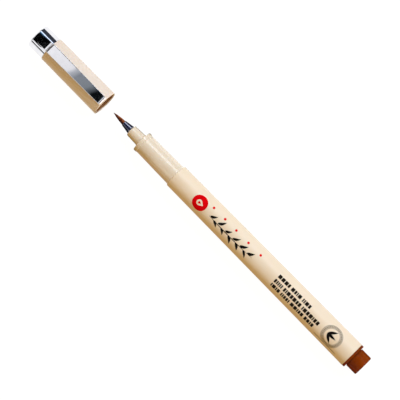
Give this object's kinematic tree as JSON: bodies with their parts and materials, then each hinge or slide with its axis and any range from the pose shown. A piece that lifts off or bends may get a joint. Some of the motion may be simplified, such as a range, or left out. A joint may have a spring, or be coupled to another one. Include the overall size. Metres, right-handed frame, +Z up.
{
  "type": "brush pen",
  "caption": "Slim capped pen with a flexible brush tip, a pull-off cap with a sprung metal pocket clip, a stepped grip and a coloured end plug.",
  "frame": {"origin": "centre of the bounding box in plan, on the surface the pen lies on", "axes": "+X along the pen from the end plug towards the tip and the cap, +Z up through the pocket clip, +Y to the side"},
  "size_m": [0.174, 0.0106, 0.0117],
  "materials": {
    "cream_shell": "moulded polypropylene, soft satin",
    "cream_grip": "moulded polypropylene, semi-gloss",
    "holder": "moulded, glossy navy black",
    "brush": "synthetic bristle soaked in brown ink",
    "wick": "bonded fibre rod",
    "reservoir": "polyester fibre bundle soaked in ink",
    "film": "clear film",
    "plug": "moulded polypropylene in the ink's colour",
    "liner": "moulded polyethylene",
    "plated_metal": "chrome-plated spring steel"
  },
  "bodies": {
    "pen": {"barrel": "cream_shell", "grip_section": "cream_grip", "nib_holder": "holder", "feed_wick": "wick", "ink_reservoir": "reservoir", "reservoir_sleeve": "film", "end_plug": "plug"},
    "tip": {"brush_tip": "brush"},
    "liner": {"inner_cap": "liner"},
    "cap": {"cap_tube": "cream_shell", "cap_top_plug": "cream_shell", "clip_crown": "plated_metal"},
    "clip": {"clip_blade": "plated_metal"}
  },
  "joints": [
    {"name": "cap_slide", "type": "slide", "parent": "pen", "child": "liner", "axis": [1, 0, 0], "range_m": [-0.0381, 0.01]},
    {"name": "cap_turn", "type": "hinge", "parent": "liner", "child": "cap", "pos_m": [0.0505, 0, 0.00528], "axis": [1, 0, 0], "continuous": true},
    {"name": "clip_flex", "type": "hinge", "parent": "cap", "child": "clip", "pos_m": [0.0791, 0, 0.01145], "axis": [0, 1, 0], "range_deg": [0, 6], "stiffness_Nm_per_rad": 0.6},
    {"name": "tip_bend", "type": "hinge", "parent": "pen", "child": "tip", "pos_m": [0.0401, 0, 0.00528], "axis": [0, 1, 0], "range_deg": [-22, 22], "stiffness_Nm_per_rad": 0.003}
  ]
}
